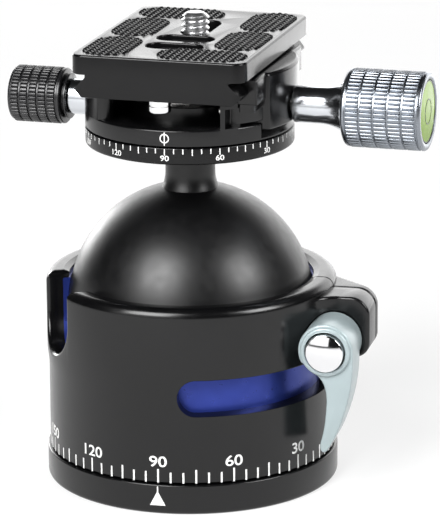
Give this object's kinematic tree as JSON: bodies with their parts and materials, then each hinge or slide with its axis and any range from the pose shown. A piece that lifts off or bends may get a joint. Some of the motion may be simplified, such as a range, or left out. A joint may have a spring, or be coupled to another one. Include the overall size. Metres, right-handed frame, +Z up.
{
  "type": "tripod ball head",
  "caption": "Ball head with a lever-clamped split collar, panning base and a panning screw-knob clamp that holds a sliding dovetail plate.",
  "frame": {"origin": "centre of the mouth of the tripod thread, in the plane of the base's underside", "axes": "+Z up along the tripod thread and the neck, +X towards the clamp knob, -Y towards the user, who reads the scales"},
  "size_m": [0.0967, 0.0763, 0.1064],
  "materials": {
    "black_anodised": "satin anodised",
    "blue_anodised": "satin anodised",
    "lever_coat": "satin coated",
    "silver_anodised": "satin anodised",
    "chrome": "polished",
    "steel": "satin",
    "brass": "satin",
    "nylon": "matte",
    "rubber": "matte knurled",
    "vial": "clear gloss"
  },
  "bodies": {
    "base": {"base_disc": "black_anodised", "tripod_bush": "steel", "base_pan_washer": "nylon", "retaining_dish": "black_anodised", "dish_screws": "steel"},
    "housing": {"ball_housing": "black_anodised", "ball_cup": "blue_anodised", "seat_ring": "nylon", "seat_spring": "steel", "lug_nut": "steel"},
    "lever": {"clamp_lever": "lever_coat", "clamp_bolt": "steel", "lever_washer": "nylon", "button_spring": "steel"},
    "button": {"lever_button": "chrome"},
    "base_lock": {"pan_lock_knob": "black_anodised", "pan_lock_screw": "steel", "pan_lock_shoe": "brass"},
    "ball": {"ball_stem": "black_anodised", "pan_scale_disc": "black_anodised", "stem_bolt": "steel", "hub_cap": "steel", "cap_screws": "steel", "clamp_pan_washer": "nylon"},
    "clamp": {"clamp_body": "black_anodised", "clamp_lock_bushing": "chrome"},
    "clamp_lock": {"clamp_lock_knob": "black_anodised", "clamp_lock_screw": "steel"},
    "jaw": {"moving_jaw": "black_anodised", "jaw_guide_pins": "steel"},
    "clamp_knob": {"clamp_knob": "silver_anodised", "clamp_knob_neck": "chrome", "clamp_screw": "steel", "screw_retaining_ring": "steel", "bubble_vial": "vial"},
    "plate": {"quick_release_plate": "black_anodised", "rubber_pads": "rubber", "plate_stop_pins": "steel"},
    "washer": {"screw_washer": "nylon"},
    "camera_screw": {"camera_screw": "steel"}
  },
  "joints": [
    {"name": "base_pan", "type": "hinge", "parent": "base", "child": "housing", "pos_m": [0, 0, 0.008], "axis": [0, 0, 1], "continuous": true},
    {"name": "lever_turn", "type": "hinge", "parent": "housing", "child": "lever", "pos_m": [0.03515, 0.00194, 0.0359], "axis": [0.0551, -0.9985, 0], "range_deg": [0, 110]},
    {"name": "button_press", "type": "slide", "parent": "lever", "child": "button", "axis": [-0.0551, 0.9985, 0], "range_m": [0, 0.0016], "stiffness_N_per_m": 900, "deforming": ["button_spring"]},
    {"name": "base_lock_turn", "type": "hinge", "parent": "housing", "child": "base_lock", "pos_m": [-0.00193, 0.03495, 0.0129], "axis": [-0.0551, 0.9985, 0], "range_deg": [0, 360]},
    {"name": "ball_tilt", "type": "hinge", "parent": "housing", "child": "ball", "pos_m": [0, 0, 0.0399], "axis": [0.5592, -0.829, 0], "range_deg": [-50, 90]},
    {"name": "clamp_pan", "type": "hinge", "parent": "ball", "child": "clamp", "pos_m": [0, 0, 0.084], "axis": [0, 0, 1], "continuous": true},
    {"name": "clamp_lock_turn", "type": "hinge", "parent": "clamp", "child": "clamp_lock", "pos_m": [-0.03, 0, 0.0864], "axis": [-1, 0, 0], "range_deg": [0, 360]},
    {"name": "jaw_slide", "type": "slide", "parent": "clamp", "child": "jaw", "axis": [1, 0, 0], "range_m": [0, 0.003]},
    {"name": "clamp_knob_turn", "type": "hinge", "parent": "jaw", "child": "clamp_knob", "pos_m": [0.03, 0, 0.0878], "axis": [1, 0, 0], "range_deg": [0, 1350]},
    {"name": "plate_slide", "type": "slide", "parent": "clamp", "child": "plate", "axis": [0, 1, 0], "range_m": [-0.0122, 0.008]},
    {"name": "screw_slide", "type": "slide", "parent": "plate", "child": "washer", "axis": [0, 1, 0], "range_m": [0, 0.009]},
    {"name": "camera_screw_turn", "type": "hinge", "parent": "washer", "child": "camera_screw", "pos_m": [0, 0.0049, 0.1], "axis": [0, 0, 1], "continuous": true}
  ],
  "couplings": [
    {"joint": "clamp_knob_turn", "follows": "jaw_slide", "rad_per_m": 7854}
  ]
}
